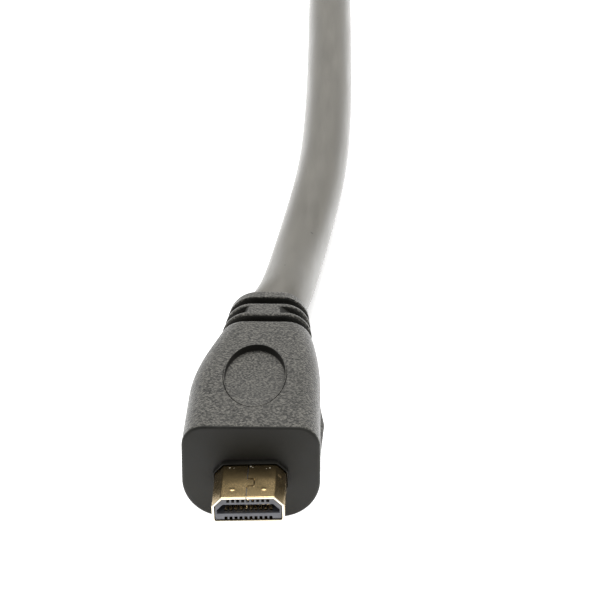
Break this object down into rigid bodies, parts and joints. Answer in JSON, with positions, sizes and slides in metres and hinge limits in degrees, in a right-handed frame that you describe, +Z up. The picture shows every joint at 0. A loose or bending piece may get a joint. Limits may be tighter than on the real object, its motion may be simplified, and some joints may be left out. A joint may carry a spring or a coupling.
{
  "type": "micro hdmi to vga adapter",
  "caption": "Short adapter lead: a gold plated micro video plug in a ribbed soft moulding, round grey cable, and a hooded socket with hexagonal posts.",
  "frame": {"origin": "on the floor under the middle of the plug and the VGA end taken together, the cable left out", "axes": "+Y from the micro plug to the VGA socket, +Z up, +X to the right seen from the micro plug"},
  "size_m": [0.034, 0.2402, 0.0155],
  "materials": {
    "plug_overmould": "soft, fine spark eroded grain",
    "plug_shell": "gold plated, brushed along its length",
    "plug_insulator": "moulded, satin",
    "contacts": "gold plated",
    "cable": "extruded jacket, satin",
    "vga_housing": "soft, fine spark eroded grain",
    "vga_shell": "bright nickel plate",
    "vga_insulator": "moulded, satin",
    "jackscrews": "bright nickel plate"
  },
  "bodies": {
    "root": {"plug_overmould": "plug_overmould", "plug_shell": "plug_shell", "plug_insulator": "plug_insulator", "cable": "cable", "vga_housing": "vga_housing", "vga_shell": "vga_shell", "vga_insulator": "vga_insulator", "jackscrew_left": "jackscrews", "jackscrew_right": "jackscrews", "contact_lower_1": "contacts", "contact_lower_2": "contacts", "contact_lower_3": "contacts", "contact_lower_4": "contacts", "contact_lower_5": "contacts", "contact_lower_6": "contacts", "contact_lower_7": "contacts", "contact_lower_8": "contacts", "contact_lower_9": "contacts", "contact_lower_10": "contacts", "contact_upper_1": "contacts", "contact_upper_2": "contacts", "contact_upper_3": "contacts", "contact_upper_4": "contacts", "contact_upper_5": "contacts", "contact_upper_6": "contacts", "contact_upper_7": "contacts", "contact_upper_8": "contacts", "contact_upper_9": "contacts", "vga_contact_1": "contacts", "vga_contact_2": "contacts", "vga_contact_3": "contacts", "vga_contact_4": "contacts", "vga_contact_5": "contacts", "vga_contact_6": "contacts", "vga_contact_7": "contacts", "vga_contact_8": "contacts", "vga_contact_9": "contacts", "vga_contact_10": "contacts", "vga_contact_11": "contacts", "vga_contact_12": "contacts", "vga_contact_13": "contacts", "vga_contact_14": "contacts", "vga_contact_15": "contacts"}
  },
  "joints": []
}
